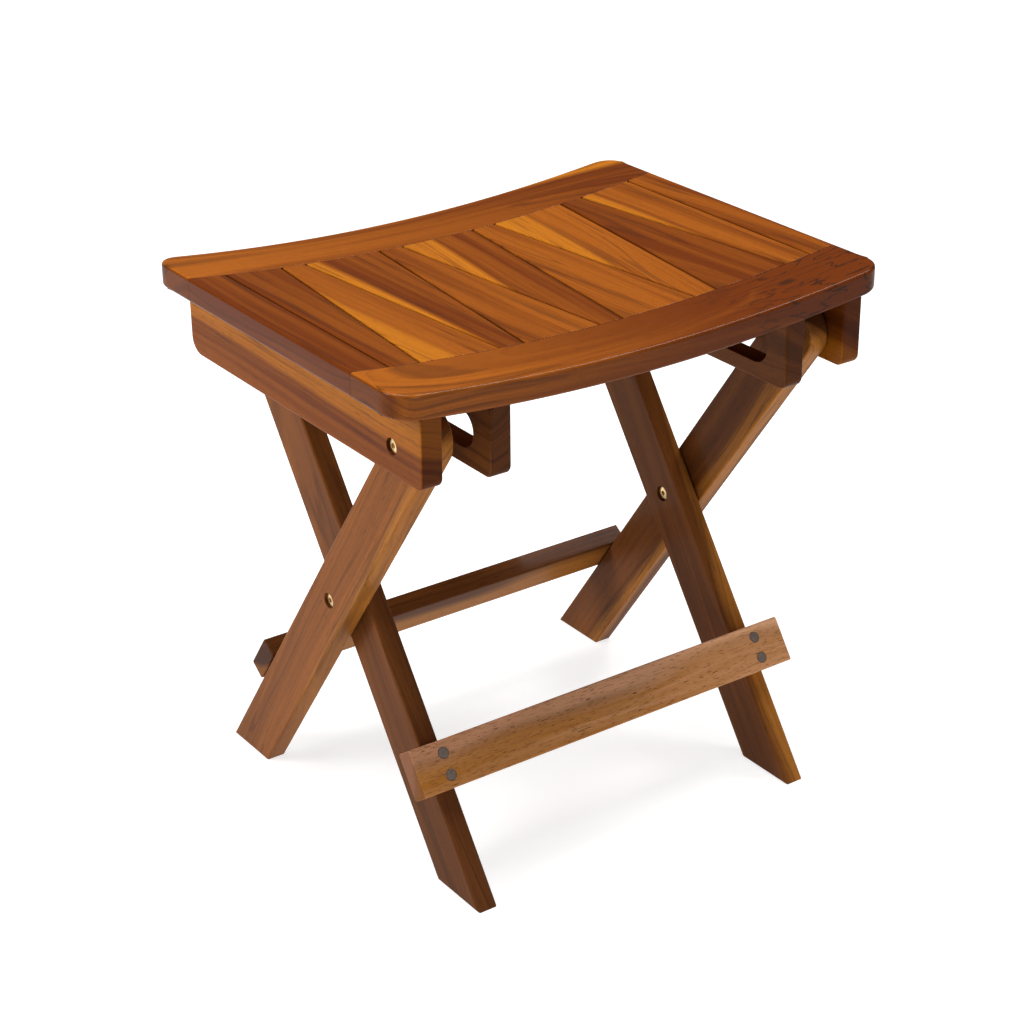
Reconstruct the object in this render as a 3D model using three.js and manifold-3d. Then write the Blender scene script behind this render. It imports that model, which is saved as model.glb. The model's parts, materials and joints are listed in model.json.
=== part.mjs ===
// Folding shower stool in oiled teak: a dished slatted seat on two crossed pairs of legs.
//
// Frame: X runs along the seat's length, Y along its depth with the front at -Y, Z is up.
// The origin is on the floor, under the middle of the seat. All sizes are millimetres.
//
// The outer legs hang from hinge bolts near the front of the seat. The inner legs cross them on two
// bolts and carry a round crossbar, whose ends slide in the slots of two cleats under the seat.
// Both legs are as long from the crossing up to the hinge as up to the crossbar.

import * as THREE from 'three';
import { mergeVertices } from 'three/addons/utils/BufferGeometryUtils.js';
import Module from 'manifold-3d';

const wasm = await Module();
wasm.setup();

// ---------- driving dimensions ----------

const seatLength = 457;          // left end to right end
const seatDepth = 356;           // front edge to back edge
const seatHeight = 450;          // floor to the top of the seat's ends
const seatDip = 15;              // how far the middle of the seat lies below its ends
const seatThickness = 20;
const cornerRadius = 20;         // the seat's corners in plan
const railWidth = 59;            // front and back rails

const slatGap = 2;               // open gap between neighbouring slats
const wideEnd = 68;              // a tapered slat's wide end
const narrowEnd = 20;            // and its narrow end
const taperedSlats = 9;          // the first and last of them have one square side
const slatShift = 4;             // the tapered slats' middle lies this far right of the seat's middle
const jointGap = 0.3;            // hairline joint where two pieces meet
const tongueLength = 8;          // tongue on each slat end, in a groove along the rail
const tongueThickness = 7;
const tongueInset = 2;           // the tongue is this much narrower than its slat, on each side

const stock = 18;                // thickness of the legs, stretchers, aprons and cleats
const arris = 2;                 // rounding along the edges of the legs and boards
const apronInset = 21.5;         // seat end to the apron's outer face
const boardHeight = 55.5;        // aprons and cleats, below the underside of the seat
const apronFrontSetback = 2;     // seat front edge to the aprons and cleats
const apronBackSetback = 16;     // seat back edge to the aprons and cleats
const apronFrontRadius = 8;      // lower front corner
const apronBackRadius = 14;      // lower back corner

const legWidth = 48;
const crossingHeight = 206.5;    // floor to the crossing bolts
const crossingShift = -3;        // the crossing bolts, from the seat's middle
const hingeSetback = 41.5;       // seat front edge to the hinge bolts
const legHeadroom = 3;           // legs' round tops to the underside of the seat, at the cleats
const hingeSpace = 2;            // apron to outer leg
const crossSpace = 1.5;          // outer leg to inner leg
const cleatSpace = 1.5;          // inner leg to cleat

const crossbarDiameter = 27;
const crossbarTenon = 16;        // diameter of the ends that sit in the inner legs
const slotClearance = 1.5;       // round the crossbar, in the slot
const slotFrontPost = 22.5;      // wood left between the slot and the cleat's front end

const stretcherWidth = 39;
const stretcherDrop = 133;       // crossing bolts down to the stretchers' upper edges, along the leg
const plugDiameter = 9.6;
const plugDepth = 6;
const plugPitch = 18;            // between the two plugs of one joint

const fitGap = 0.3;              // clearance round plugs, screws, bolts and tenons
const screwHead = 8;
const screwHeadDepth = 4;
const screwShank = 4;
const screwTip = 5;
const stretcherScrewLength = 32;
const seatScrewLength = 44;
const seatScrewSink = 27;        // how deep the seat screws' heads lie in the aprons and cleats

const boltHead = 12.4;           // diameter of the brass heads
const boltHeadDepth = 2.2;
const boltCrown = 0.6;           // their slight dome
const boltSunk = 1.8;            // depth of the heads below the wood, at their rims
const boltShank = 5.4;
const sleeveOuter = 8;           // barrel of the nut, round the shank
const sleeveBore = 6;
const hexSocket = 4;             // across flats
const hexDepth = 3;
const boltReach = 4;             // the bolt's tip, past the nut's seat
const barrelFloor = 2;           // solid brass at the head end of the nut's barrel
const barrelShort = 1;           // the barrel stops this far short of the bolt's head
const washerDiameter = 20;

// The heads' slight dome: [share of the crown below the rim's height, share of the head's radius].
const crownShape = [[1, 1], [1 / 3, 0.92], [0, 0.6]];

const cutOver = 1;               // how far a cutter runs past the face that it opens

// How finely round shapes are stepped.
const sheetSteps = 24;           // along the seat's curve
const barSides = 28;
const boltSides = 16;
const plugSides = 16;
const screwSides = 10;

// ---------- places worked out from them ----------

const halfLength = seatLength / 2;
const halfDepth = seatDepth / 2;
const railLine = halfDepth - railWidth;
const apronFront = -halfDepth + apronFrontSetback;
const apronBack = halfDepth - apronBackSetback;

const apronOuter = halfLength - apronInset;
const outerLegOuter = apronOuter - stock - hingeSpace;
const innerLegOuter = outerLegOuter - stock - crossSpace;
const cleatOuter = innerLegOuter - stock - cleatSpace;

const seatTop = (x) => seatHeight - seatDip * (1 - (x / halfLength) ** 2);
const seatUnderside = (x) => seatTop(x) - seatThickness;
const boardBottom = (outerFace) => seatUnderside(outerFace - stock / 2) - boardHeight;

const hingeHeight = seatUnderside(cleatOuter - stock / 2) - legHeadroom - legWidth / 2;
const hinge = new THREE.Vector2(-halfDepth + hingeSetback, hingeHeight);
const crossing = new THREE.Vector2(crossingShift, crossingHeight);
const crossbarAt = new THREE.Vector2(2 * crossing.x - hinge.x, hinge.y);
const lean = Math.atan2(crossing.x - hinge.x, hinge.y - crossing.y);

const outerUp = new THREE.Vector2(-Math.sin(lean), Math.cos(lean));
const outerBackward = new THREE.Vector2(Math.cos(lean), Math.sin(lean));
const innerUp = new THREE.Vector2(Math.sin(lean), Math.cos(lean));
const innerForward = new THREE.Vector2(-Math.cos(lean), Math.sin(lean));

const slotRadius = crossbarDiameter / 2 + slotClearance;
const slotFront = apronFront + slotFrontPost + slotRadius;
const slotBackPost = apronBack - crossbarAt.x - slotRadius;

// ---------- solids ----------

// A closed geometry as a solid, placed by a matrix once its shared points are merged.
function toSolid(geometry, place = new THREE.Matrix4()) {
  geometry.deleteAttribute('normal');
  geometry.deleteAttribute('uv');
  const merged = mergeVertices(geometry, 1e-4).applyMatrix4(place);
  return new wasm.Manifold(new wasm.Mesh({
    numProp: 3,
    vertProperties: new Float32Array(merged.attributes.position.array),
    triVerts: new Uint32Array(merged.index.array),
  }));
}

function toGeometry(solid) {
  const mesh = solid.getMesh();
  const geometry = new THREE.BufferGeometry();
  geometry.setAttribute('position', new THREE.BufferAttribute(new Float32Array(mesh.vertProperties), 3));
  geometry.setIndex(new THREE.BufferAttribute(new Uint32Array(mesh.triVerts), 1));
  const faceted = geometry.toNonIndexed();
  faceted.computeVertexNormals();
  return faceted;
}

// A box from its lowest and highest corners.
function block(x0, x1, y0, y1, z0, z1) {
  const geometry = new THREE.BoxGeometry(x1 - x0, y1 - y0, z1 - z0);
  return toSolid(geometry, new THREE.Matrix4().makeTranslation((x0 + x1) / 2, (y0 + y1) / 2, (z0 + z1) / 2));
}

// An outline in plan (x, y), extruded from z0 up to z1.
function planPrism(points, z0, z1) {
  const options = { depth: z1 - z0, bevelEnabled: false };
  const geometry = new THREE.ExtrudeGeometry(new THREE.Shape(points), options);
  return toSolid(geometry, new THREE.Matrix4().makeTranslation(0, 0, z0));
}

// An outline seen from the right (y, z), extruded along X from x0 to x1 with rounded arrises.
function sidePrism(points, x0, x1, round = 0) {
  const options = { depth: x1 - x0 - 2 * round, bevelEnabled: round > 0 };
  Object.assign(options, { bevelThickness: round, bevelSize: round, bevelOffset: -round, bevelSegments: 1 });
  const geometry = new THREE.ExtrudeGeometry(new THREE.Shape(points), options);
  const place = new THREE.Matrix4().makeBasis(
    new THREE.Vector3(0, 1, 0), new THREE.Vector3(0, 0, 1), new THREE.Vector3(1, 0, 0));
  return toSolid(geometry, place.setPosition(x0 + round, 0, 0));
}

// A layer that follows the seat's curve, from `above` to `below` the seat's top, between two depths.
function curvedLayer(above, below, y0, y1) {
  const reach = halfLength + seatThickness / 4;
  const upper = [];
  const lower = [];
  for (let i = 0; i <= sheetSteps; i++) {
    const x = -reach + (2 * reach * i) / sheetSteps;
    upper.push(new THREE.Vector2(x, seatTop(x) + above));
    lower.push(new THREE.Vector2(x, seatTop(x) + below));
  }
  const shape = new THREE.Shape([...lower, ...upper.reverse()]);
  const geometry = new THREE.ExtrudeGeometry(shape, { depth: y1 - y0, bevelEnabled: false });
  return toSolid(geometry, new THREE.Matrix4().makeRotationX(Math.PI / 2).setPosition(0, y1, 0));
}

// A turned piece: its profile [distance along the axis, radius] spins about a line through `at`.
function turned(profile, at, direction, sides) {
  const points = profile.map(([along, radius]) => new THREE.Vector2(radius, along));
  const geometry = new THREE.LatheGeometry(points, sides);
  const turn = new THREE.Quaternion().setFromUnitVectors(new THREE.Vector3(0, 1, 0), direction);
  return toSolid(geometry, new THREE.Matrix4().compose(at, turn, new THREE.Vector3(1, 1, 1)));
}

function rod(radius, at, direction, from, to, sides = boltSides) {
  return turned([[from, 0], [from, radius], [to, radius], [to, 0]], at, direction, sides);
}

const sideways = (side) => new THREE.Vector3(side, 0, 0);
const onSide = (side, x, place) => new THREE.Vector3(side * x, place.x, place.y);

// Points of an arc about `centre`, from one angle to another, both in radians.
function arc(centre, radius, from, to, steps) {
  const points = [];
  for (let i = 0; i <= steps; i++) {
    const angle = from + ((to - from) * i) / steps;
    points.push(new THREE.Vector2(centre.x + radius * Math.cos(angle), centre.y + radius * Math.sin(angle)));
  }
  return points;
}

// ---------- the stool's tree of named pieces ----------

const stool = new THREE.Group();

const woods = {
  seat: { color: 0xa8632a, roughness: 0.35, metalness: 0 },
  legs: { color: 0x8a5a36, roughness: 0.45, metalness: 0 },
  stretcher: { color: 0x7d5a40, roughness: 0.55, metalness: 0 },
  plug: { color: 0x5f544b, roughness: 0.6, metalness: 0 },
};
const brass = { color: 0xd0b67a, roughness: 0.3, metalness: 1 };
const steel = { color: 0xb9bcc0, roughness: 0.35, metalness: 1 };
const nylon = { color: 0xd8d4ca, roughness: 0.5, metalness: 0 };

function add(name, solid, finish) {
  const mesh = new THREE.Mesh(toGeometry(solid), new THREE.MeshStandardMaterial(finish));
  mesh.name = name;
  stool.add(mesh);
}

// ---------- seat ----------

// Edges of the tapered slats along the back rail and the front rail, as the gaps' middles.
function slatEdges() {
  const wide = wideEnd + slatGap;
  const narrow = narrowEnd + slatGap;
  const back = [];
  const front = [];
  const middle = (taperedSlats - 1) / 2;
  for (let i = 1; i < taperedSlats; i++) {
    const steps = i - middle - 0.5;
    const pairs = steps * (wide + narrow) / 2;
    const sway = (wide - narrow) / 4 * ((i + middle) % 2 === 0 ? -1 : 1);
    back.push(slatShift + pairs + sway);
    front.push(slatShift + pairs - sway);
  }
  const outermost = Math.max(-back[0], -front[0], back.at(-1), front.at(-1)) + narrow;
  return {
    back: [slatShift - outermost, ...back, slatShift + outermost],
    front: [slatShift - outermost, ...front, slatShift + outermost],
  };
}

// One seat board between the rails, with a tongue on each end. Corners run from the left.
function slat(backLeft, backRight, frontLeft, frontRight, tongueLeft, tongueRight) {
  const end = railLine - jointGap / 2;
  const outline = [
    new THREE.Vector2(frontLeft, -end), new THREE.Vector2(frontRight, -end),
    new THREE.Vector2(backRight, end), new THREE.Vector2(backLeft, end),
  ];
  const face = planPrism(outline, 0, seatHeight + seatThickness);
  const board = curvedLayer(0, -seatThickness, -end, end).intersect(face);
  const middle = -(seatThickness - tongueThickness) / 2;
  const layer = curvedLayer(middle, middle - tongueThickness, -end - tongueLength, end + tongueLength);
  const backBox = block(
    backLeft + tongueLeft, backRight - tongueRight, end - cutOver, end + tongueLength, 0, seatHeight);
  const frontBox = block(
    frontLeft + tongueLeft, frontRight - tongueRight, -end - tongueLength, -end + cutOver, 0, seatHeight);
  return board.add(layer.intersect(backBox)).add(layer.intersect(frontBox));
}

// Front (side -1) or back (side 1) rail, with the groove that takes the slats' tongues.
function rail(side) {
  const outer = cornerRadius;
  const inner = railLine + jointGap / 2;
  const right = arc(new THREE.Vector2(halfLength - outer, halfDepth - outer), outer, 0, Math.PI / 2, 8);
  const left = arc(new THREE.Vector2(-halfLength + outer, halfDepth - outer), outer, Math.PI / 2, Math.PI, 8);
  const outline = [
    new THREE.Vector2(-halfLength, inner), new THREE.Vector2(halfLength, inner), ...right, ...left,
  ];
  let prism = planPrism(outline, 0, seatHeight + seatThickness);
  if (side < 0) prism = prism.mirror([0, 1, 0]);
  const layer = curvedLayer(0, -seatThickness, -halfDepth - cutOver, halfDepth + cutOver);
  const grooveTop = -(seatThickness - tongueThickness) / 2 + fitGap;
  const grooveLayer = curvedLayer(grooveTop, grooveTop - tongueThickness - 2 * fitGap, -halfDepth, halfDepth);
  const grooveEnd = halfLength - cornerRadius / 2;
  const floorOfGroove = railLine + tongueLength + fitGap;
  const reach = block(-grooveEnd, grooveEnd, railLine - cutOver, floorOfGroove, 0, seatHeight);
  const groove = grooveLayer.intersect(side < 0 ? reach.mirror([0, 1, 0]) : reach);
  return layer.intersect(prism).subtract(groove);
}

// ---------- aprons and cleats ----------

// The space that the seat takes, with a hairline under it, to trim what stands under the seat.
const seatSpace = () => curvedLayer(seatThickness, -seatThickness - jointGap, -seatDepth, seatDepth);

function boardUnderSeat(inner, outer, bottom) {
  const frontCorner = new THREE.Vector2(apronFront + apronFrontRadius, bottom + apronFrontRadius);
  const backCorner = new THREE.Vector2(apronBack - apronBackRadius, bottom + apronBackRadius);
  const outline = [
    new THREE.Vector2(apronFront, seatHeight - seatThickness / 2),
    ...arc(frontCorner, apronFrontRadius, Math.PI, 1.5 * Math.PI, 5),
    ...arc(backCorner, apronBackRadius, 1.5 * Math.PI, 2 * Math.PI, 6),
    new THREE.Vector2(apronBack, seatHeight - seatThickness / 2),
  ];
  return sidePrism(outline, inner, outer, arris).subtract(seatSpace());
}

// Inner and outer X of a board on one side of the stool, in rising order.
function across(side, outerFace) {
  const faces = [side * outerFace, side * (outerFace - stock)];
  return faces.sort((a, b) => a - b);
}

// A screw that points along `direction`, with the top of its head at `at`.
function screw(at, direction, length) {
  const shank = screwShank / 2;
  const profile = [
    [0, 0], [0, screwHead / 2], [screwHeadDepth, shank], [length - screwTip, shank], [length, 0],
  ];
  return turned(profile, at, direction, screwSides);
}

// The hole that it goes in, with room all round it and above its head.
function screwHole(at, direction, length) {
  const head = screwHead / 2 + fitGap;
  const shank = screwShank / 2 + fitGap;
  const above = -2 * fitGap;
  const profile = [
    [above, 0], [above, head], [0, head], [screwHeadDepth, shank], [length + fitGap, shank],
    [length + fitGap, 0],
  ];
  return turned(profile, at, direction, screwSides);
}

const up = new THREE.Vector3(0, 0, 1);

// The four screws' places under one side of the seat: apron and cleat, front rail and back rail.
function seatScrewPlaces(side) {
  const places = [];
  for (const outerFace of [apronOuter, cleatOuter]) {
    for (const y of [apronFront + slotFrontPost / 2, apronBack - slotBackPost / 2]) {
      const head = boardBottom(outerFace) + seatScrewSink;
      places.push(new THREE.Vector3(side * (outerFace - stock / 2), y, head));
    }
  }
  return places;
}

// The hole that each seat screw drops into, open at the board's lower edge.
function seatScrewHole(place) {
  const access = rod(screwHead / 2 + fitGap, place, up, -seatScrewSink - cutOver, 0, screwSides);
  return screwHole(place, up, seatScrewLength).add(access);
}

function cutSeatScrews(solid, side) {
  let cut = solid;
  for (const place of seatScrewPlaces(side)) cut = cut.subtract(seatScrewHole(place));
  return cut;
}

function apron(side) {
  const [inner, outer] = across(side, apronOuter);
  return cutSeatScrews(boardUnderSeat(inner, outer, boardBottom(apronOuter)), side).subtract(hingeHole(side));
}

function cleat(side) {
  const [inner, outer] = across(side, cleatOuter);
  const frontEnd = new THREE.Vector2(slotFront, crossbarAt.y);
  const outline = [
    ...arc(frontEnd, slotRadius, Math.PI / 2, 1.5 * Math.PI, 12),
    ...arc(crossbarAt, slotRadius, -Math.PI / 2, Math.PI / 2, 12),
  ];
  const slot = sidePrism(outline, inner - cutOver, outer + cutOver);
  return cutSeatScrews(boardUnderSeat(inner, outer, boardBottom(cleatOuter)), side).subtract(slot);
}

// ---------- brass barrel bolts ----------

// Each joint has its bolt's head in a counterbore on the outside and its barrel nut's on the inside.
const joints = {
  hinge: { at: hinge, outside: apronOuter, inside: outerLegOuter - stock },
  cross: { at: crossing, outside: outerLegOuter, inside: innerLegOuter - stock },
};

const counterbore = boltHead / 2 + fitGap;
const boltSeat = boltSunk + boltHeadDepth;

function jointHole(side, joint) {
  const { at, outside, inside } = joint;
  const place = onSide(side, 0, at);
  const through = rod(sleeveOuter / 2 + fitGap, place, sideways(side), inside - cutOver, outside + cutOver);
  const head = rod(counterbore, place, sideways(side), outside - boltSeat - fitGap, outside + cutOver);
  const nut = rod(counterbore, place, sideways(side), inside - cutOver, inside + boltSeat + fitGap);
  return through.add(head).add(nut);
}

const hingeHole = (side) => jointHole(side, joints.hinge);
const crossHole = (side) => jointHole(side, joints.cross);

// A hexagonal recess whose open end faces along `direction`.
function hexRecess(at, direction) {
  const radius = hexSocket / Math.sqrt(3);
  const profile = [[-hexDepth, 0], [-hexDepth, radius], [cutOver, radius], [cutOver, 0]];
  return turned(profile, at, direction, 6);
}

// A head's domed face whose middle is at `rim`; it falls away towards -facing.
const domeFrom = (rim, facing) => crownShape.map(
  ([fall, share]) => [rim - facing * fall * boltCrown, (share * boltHead) / 2]);

// Head and shank, screwed into the nut's barrel.
function bolt(side, joint) {
  const { at, outside, inside } = joint;
  const rim = outside - boltSunk;
  const seat = rim - boltHeadDepth;
  const tip = inside + boltSeat + boltReach;
  const profile = [
    [tip, 0], [tip, boltShank / 2], [seat, boltShank / 2], [seat, boltHead / 2],
    ...domeFrom(rim, 1), [rim, 0],
  ];
  const place = onSide(side, 0, at);
  const recess = hexRecess(onSide(side, rim, at), sideways(side));
  return turned(profile, place, sideways(side), boltSides).subtract(recess);
}

// Head and hollow barrel, pushed in from the inside.
function nut(side, joint) {
  const { at, outside, inside } = joint;
  const rim = inside + boltSunk;
  const seat = rim + boltHeadDepth;
  const floor = seat + barrelFloor;
  const barrelEnd = outside - boltSeat - barrelShort;
  const profile = [
    [rim, 0], ...domeFrom(rim, -1).reverse(),
    [seat, boltHead / 2], [seat, sleeveOuter / 2], [barrelEnd, sleeveOuter / 2], [barrelEnd, sleeveBore / 2],
    [floor, sleeveBore / 2], [floor, 0],
  ];
  const place = onSide(side, 0, at);
  const recess = hexRecess(onSide(side, rim, at), sideways(-side));
  return turned(profile, place, sideways(side), boltSides).subtract(recess);
}

// A nylon washer between two boards, round the barrel.
function washer(side, at, innerFace, space) {
  const thickness = space - 2 * fitGap;
  const hole = sleeveOuter / 2 + fitGap;
  const profile = [
    [0, hole], [0, washerDiameter / 2], [thickness, washerDiameter / 2], [thickness, hole], [0, hole],
  ];
  return turned(profile, onSide(side, innerFace + fitGap, at), sideways(side), boltSides);
}

// ---------- legs ----------

// A straight leg in side view: round about its top pivot, cut level at the floor.
function legOutline(pivot, alongUp) {
  const half = legWidth / 2;
  const angle = Math.atan2(alongUp.y, alongUp.x);
  const floorAt = pivot.x - (pivot.y * alongUp.x) / alongUp.y;
  const floorHalf = half / Math.abs(alongUp.y);
  return [
    new THREE.Vector2(floorAt - floorHalf, 0), new THREE.Vector2(floorAt + floorHalf, 0),
    ...arc(pivot, half, angle - Math.PI / 2, angle + Math.PI / 2, 14),
  ];
}

function outerLeg(side) {
  const [inner, outer] = across(side, outerLegOuter);
  const leg = sidePrism(legOutline(hinge, outerUp), inner, outer, arris);
  return cutStretcherJoints(leg.subtract(hingeHole(side)).subtract(crossHole(side)), stretchers.back);
}

function innerLeg(side) {
  const [inner, outer] = across(side, innerLegOuter);
  const leg = sidePrism(legOutline(crossbarAt, innerUp), inner, outer, arris);
  const middle = onSide(0, 0, crossbarAt);
  const bore = crossbarTenon / 2 + fitGap;
  const tenonHole = rod(bore, middle, sideways(1), inner - cutOver, outer + cutOver);
  return cutStretcherJoints(leg.subtract(tenonHole).subtract(crossHole(side)), stretchers.front);
}

function crossbar() {
  const shoulder = innerLegOuter - stock - jointGap;
  const end = innerLegOuter - fitGap;
  const bar = crossbarDiameter / 2;
  const tenon = crossbarTenon / 2;
  const profile = [
    [-end, 0], [-end, tenon], [-shoulder, tenon], [-shoulder, bar],
    [shoulder, bar], [shoulder, tenon], [end, tenon], [end, 0],
  ];
  return turned(profile, new THREE.Vector3(0, crossbarAt.x, crossbarAt.y), sideways(1), barSides);
}

// ---------- stretchers, with their plugs and screws ----------

// Front stretcher on the inner legs' front edges, back stretcher on the outer legs' back edges.
const stretchers = {
  front: { alongLeg: innerUp, outward: innerForward, legAt: innerLegOuter - stock / 2 },
  back: { alongLeg: outerUp, outward: outerBackward, legAt: outerLegOuter - stock / 2 },
};

// A point of a stretcher in side view: `along` the leg from the crossing and `out` from its edge.
function stretcherPoint(stretcher, along, out) {
  return crossing.clone()
    .addScaledVector(stretcher.alongLeg, along)
    .addScaledVector(stretcher.outward, legWidth / 2 + out);
}

function stretcherBoard(stretcher) {
  const upper = -stretcherDrop;
  const lower = upper - stretcherWidth;
  const corners = [
    [upper, jointGap], [upper, stock - arris], [upper - arris, stock],
    [lower + arris, stock], [lower, stock - arris], [lower, jointGap],
  ];
  const outline = corners.map(([along, out]) => stretcherPoint(stretcher, along, out));
  if (THREE.ShapeUtils.area(outline) < 0) outline.reverse();
  const board = sidePrism(outline, -outerLegOuter, outerLegOuter, arris / 2);
  return cutStretcherJoints(board, stretcher);
}

// Places and direction of the four plugs of one stretcher, on its outer face.
function plugPlaces(stretcher) {
  const places = [];
  for (const side of [-1, 1]) {
    for (const step of [-0.5, 0.5]) {
      const along = -stretcherDrop - stretcherWidth / 2 - step * plugPitch;
      places.push(onSide(side, stretcher.legAt, stretcherPoint(stretcher, along, stock)));
    }
  }
  return places;
}

const inwardOf = (stretcher) => new THREE.Vector3(0, -stretcher.outward.x, -stretcher.outward.y);

function plug(place, inward) {
  return rod(plugDiameter / 2 - fitGap, place, inward, 0, plugDepth, plugSides);
}

// Top of the head of the screw that lies under a plug.
const underPlug = (place, inward) => place.clone().addScaledVector(inward, plugDepth + 2 * fitGap);

function cutStretcherJoints(solid, stretcher) {
  const inward = inwardOf(stretcher);
  let cut = solid;
  for (const place of plugPlaces(stretcher)) {
    const well = rod(plugDiameter / 2, place, inward, -cutOver, plugDepth + fitGap, plugSides);
    cut = cut.subtract(well.add(screwHole(underPlug(place, inward), inward, stretcherScrewLength)));
  }
  return cut;
}

// ---------- put the stool together ----------

function addSeat() {
  add('seat_front_rail', cutSeatScrews(cutSeatScrews(rail(-1), -1), 1), woods.seat);
  add('seat_back_rail', cutSeatScrews(cutSeatScrews(rail(1), -1), 1), woods.seat);
  const { back, front } = slatEdges();
  const half = slatGap / 2;
  const endTongue = cornerRadius;
  const leftEdge = back[0] - half;
  const rightEdge = back.at(-1) + half;
  const left = slat(-halfLength, leftEdge, -halfLength, leftEdge, endTongue, tongueInset);
  const right = slat(rightEdge, halfLength, rightEdge, halfLength, tongueInset, endTongue);
  add('seat_end_slat_left', left, woods.seat);
  for (let i = 0; i < taperedSlats; i++) {
    const board = slat(
      back[i] + half, back[i + 1] - half, front[i] + half, front[i + 1] - half, tongueInset, tongueInset);
    add(`seat_slat_${i + 1}`, board, woods.seat);
  }
  add('seat_end_slat_right', right, woods.seat);
}

function addSide(side, word) {
  add(`apron_${word}`, apron(side), woods.seat);
  add(`slotted_cleat_${word}`, cleat(side), woods.legs);
  add(`outer_leg_${word}`, outerLeg(side), woods.legs);
  add(`inner_leg_${word}`, innerLeg(side), woods.legs);
  for (const [kind, joint] of Object.entries(joints)) {
    add(`${kind}_bolt_${word}`, bolt(side, joint), brass);
    add(`${kind}_nut_${word}`, nut(side, joint), brass);
  }
  add(`hinge_washer_${word}`, washer(side, hinge, outerLegOuter, hingeSpace), nylon);
  add(`cross_washer_${word}`, washer(side, crossing, innerLegOuter, crossSpace), nylon);
  seatScrewPlaces(side).forEach((place, i) => {
    add(`seat_screw_${word}_${i + 1}`, screw(place, up, seatScrewLength), steel);
  });
}

function addStretcher(word) {
  const stretcher = stretchers[word];
  const inward = inwardOf(stretcher);
  add(`${word}_stretcher`, stretcherBoard(stretcher), woods.stretcher);
  plugPlaces(stretcher).forEach((place, i) => {
    add(`${word}_plug_${i + 1}`, plug(place, inward), woods.plug);
    const fastener = screw(underPlug(place, inward), inward, stretcherScrewLength);
    add(`${word}_stretcher_screw_${i + 1}`, fastener, steel);
  });
}

addSeat();
addSide(-1, 'left');
addSide(1, 'right');
add('crossbar', crossbar(), woods.legs);
addStretcher('front');
addStretcher('back');

export default stool;
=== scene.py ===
"""A folding teak stool: fine pieces, oiled wood and a plain studio, built round the stool's frame."""

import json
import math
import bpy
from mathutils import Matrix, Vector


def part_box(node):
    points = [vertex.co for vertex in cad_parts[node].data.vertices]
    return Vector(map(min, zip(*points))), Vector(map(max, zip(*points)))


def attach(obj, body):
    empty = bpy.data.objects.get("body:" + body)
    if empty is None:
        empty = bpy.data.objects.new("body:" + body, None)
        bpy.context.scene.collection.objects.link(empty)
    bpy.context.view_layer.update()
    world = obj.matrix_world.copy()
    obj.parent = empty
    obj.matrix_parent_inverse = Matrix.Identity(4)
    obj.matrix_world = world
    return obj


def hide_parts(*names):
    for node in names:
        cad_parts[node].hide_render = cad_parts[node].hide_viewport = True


bl_info = {
    "name": "Folding Teak Stool",
    "version": (1, 0, 0),
    "blender": (4, 5, 0),
    "location": "View3D > Sidebar > Stool",
    "description": "Builds the boards, legs and brass fittings of a folding teak stool round its frame",
    "category": "Add Mesh",
}

import bmesh
import bpy
import numpy as np
from mathutils import Quaternion, Vector

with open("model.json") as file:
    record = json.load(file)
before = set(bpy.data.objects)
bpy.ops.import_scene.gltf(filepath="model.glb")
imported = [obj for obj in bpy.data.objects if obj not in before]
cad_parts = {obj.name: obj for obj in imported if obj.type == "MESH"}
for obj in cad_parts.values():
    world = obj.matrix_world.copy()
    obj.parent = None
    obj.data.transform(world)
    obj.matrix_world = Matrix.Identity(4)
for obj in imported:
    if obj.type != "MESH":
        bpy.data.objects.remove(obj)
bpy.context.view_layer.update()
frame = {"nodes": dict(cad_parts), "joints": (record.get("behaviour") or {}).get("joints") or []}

X_AXIS = np.array([1.0, 0.0, 0.0])
Y_AXIS = np.array([0.0, 1.0, 0.0])
Z_AXIS = np.array([0.0, 0.0, 1.0])
SIDES = (("left", -1), ("right", 1))

# ---------- places read from the frame, in metres ----------


def mesh_points(mesh):
    """The points of a mesh, one row each."""
    points = np.zeros(len(mesh.vertices) * 3, np.float32)
    mesh.vertices.foreach_get("co", points)
    return points.reshape(-1, 3).astype(float)


def node_points(node):
    """The points of a frame node's mesh."""
    return mesh_points(frame["nodes"][node].data)


def span(node, axis):
    """Lowest and highest place of a node along a direction."""
    along = node_points(node) @ np.asarray(axis, float)
    return float(along.min()), float(along.max())


def middle(node):
    """The middle of a node's box."""
    low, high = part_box(node)
    return np.array((low + high) / 2)


joint_places = {joint["name"]: np.array(joint["pos_m"][1:]) for joint in frame["joints"]}
HINGE = joint_places["leg_fold"]
CROSSING = joint_places["leg_cross"]
CROSSBAR = np.array([2 * CROSSING[0] - HINGE[0], HINGE[1]])

# Directions along the legs in side view (y, z), and out of the edges that carry the stretchers.
OUTER_UP = (HINGE - CROSSING) / np.linalg.norm(HINGE - CROSSING)
INNER_UP = OUTER_UP * [-1, 1]
OUTER_BACKWARD = np.array([OUTER_UP[1], -OUTER_UP[0]])
INNER_FORWARD = OUTER_BACKWARD * [-1, 1]

# Each pivot's name, its place (y, z) and the body that its fittings ride with.
PIVOTS = (("hinge", HINGE, "seat"), ("cross", CROSSING, "outer_legs"))
# Each stretcher's name, the way that its plugs face, and its body.
STRETCHERS = (("front", INNER_FORWARD, "inner_legs"), ("back", OUTER_BACKWARD, "outer_legs"))

LEG_WIDTH = 2 * (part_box("outer_leg_left")[1].z - HINGE[1])
HALF_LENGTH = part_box("seat_front_rail")[1].x
SEAT_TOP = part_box("seat_front_rail")[1].z
BAR_RADIUS = (span("crossbar", Z_AXIS)[1] - span("crossbar", Z_AXIS)[0]) / 2

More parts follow.
